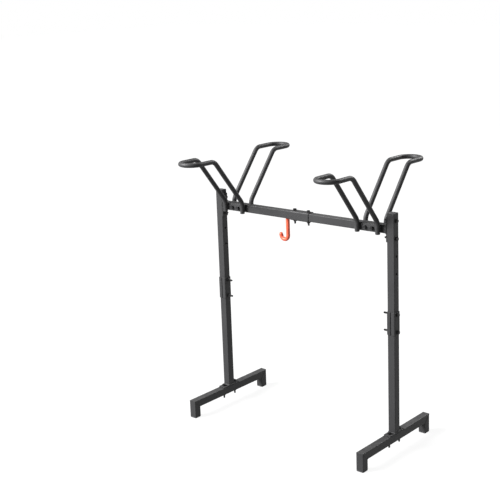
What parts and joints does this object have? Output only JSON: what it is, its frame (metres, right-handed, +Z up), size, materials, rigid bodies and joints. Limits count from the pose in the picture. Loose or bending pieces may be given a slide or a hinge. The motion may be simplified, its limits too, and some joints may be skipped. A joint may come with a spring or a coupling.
{
  "type": "freestanding bike stand",
  "caption": "Black steel stand with two T-shaped legs, a bolted crossbar, bent wheel cradles to front and back, and a red hook below the bar.",
  "frame": {"origin": "on the floor, midway between the two uprights and midway between the front and rear feet", "axes": "+X along the crossbar to the right as seen from the front, +Y to the back, +Z up"},
  "size_m": [0.9292, 0.642, 1.131],
  "materials": {
    "powder_coated_frame": "satin black powder coat with a fine grain",
    "black_fastener": "black zinc plated steel",
    "black_plastic": "matt moulded black plastic",
    "red_coating": "satin red dipped vinyl over steel",
    "insert_steel": "zinc plated steel"
  },
  "bodies": {
    "frame": {"base_rail_left": "powder_coated_frame", "lower_upright_left": "powder_coated_frame", "upright_sleeve_left": "powder_coated_frame", "upper_upright_left": "powder_coated_frame", "crossbar_left": "powder_coated_frame", "foot_cap_left_front": "black_plastic", "cradle_arm_left_front": "powder_coated_frame", "base_bolt_left_front": "black_fastener", "base_nut_left_front": "black_fastener", "foot_cap_left_rear": "black_plastic", "cradle_arm_left_rear": "powder_coated_frame", "base_bolt_left_rear": "black_fastener", "base_nut_left_rear": "black_fastener", "top_plug_left": "black_plastic", "sleeve_bolt_left_lower": "black_fastener", "sleeve_nut_left_lower": "black_fastener", "end_bolt_left_lower": "black_fastener", "end_nut_left_lower": "black_fastener", "sleeve_bolt_left_upper": "black_fastener", "sleeve_nut_left_upper": "black_fastener", "end_bolt_left_upper": "black_fastener", "end_nut_left_upper": "black_fastener", "cradle_bolt_left_inner": "black_fastener", "cradle_nut_left_inner": "black_fastener", "cradle_bolt_left_outer": "black_fastener", "cradle_nut_left_outer": "black_fastener", "crossbar_bolt_left": "black_fastener", "crossbar_nut_left": "black_fastener", "base_rail_right": "powder_coated_frame", "lower_upright_right": "powder_coated_frame", "upright_sleeve_right": "powder_coated_frame", "upper_upright_right": "powder_coated_frame", "crossbar_right": "powder_coated_frame", "foot_cap_right_front": "black_plastic", "cradle_arm_right_front": "powder_coated_frame", "base_bolt_right_front": "black_fastener", "base_nut_right_front": "black_fastener", "foot_cap_right_rear": "black_plastic", "cradle_arm_right_rear": "powder_coated_frame", "base_bolt_right_rear": "black_fastener", "base_nut_right_rear": "black_fastener", "top_plug_right": "black_plastic", "sleeve_bolt_right_lower": "black_fastener", "sleeve_nut_right_lower": "black_fastener", "end_bolt_right_lower": "black_fastener", "end_nut_right_lower": "black_fastener", "sleeve_bolt_right_upper": "black_fastener", "sleeve_nut_right_upper": "black_fastener", "end_bolt_right_upper": "black_fastener", "end_nut_right_upper": "black_fastener", "cradle_bolt_right_inner": "black_fastener", "cradle_nut_right_inner": "black_fastener", "cradle_bolt_right_outer": "black_fastener", "cradle_nut_right_outer": "black_fastener", "crossbar_bolt_right": "black_fastener", "crossbar_nut_right": "black_fastener", "crossbar_sleeve": "powder_coated_frame", "hook_insert": "insert_steel"},
    "hook_swivel": {"hook": "red_coating"}
  },
  "joints": [
    {"name": "hook_turn", "type": "hinge", "parent": "frame", "child": "hook_swivel", "pos_m": [-0.0735, 0, 0.8815], "axis": [0, 0, 1], "range_deg": [-180, 180]}
  ]
}
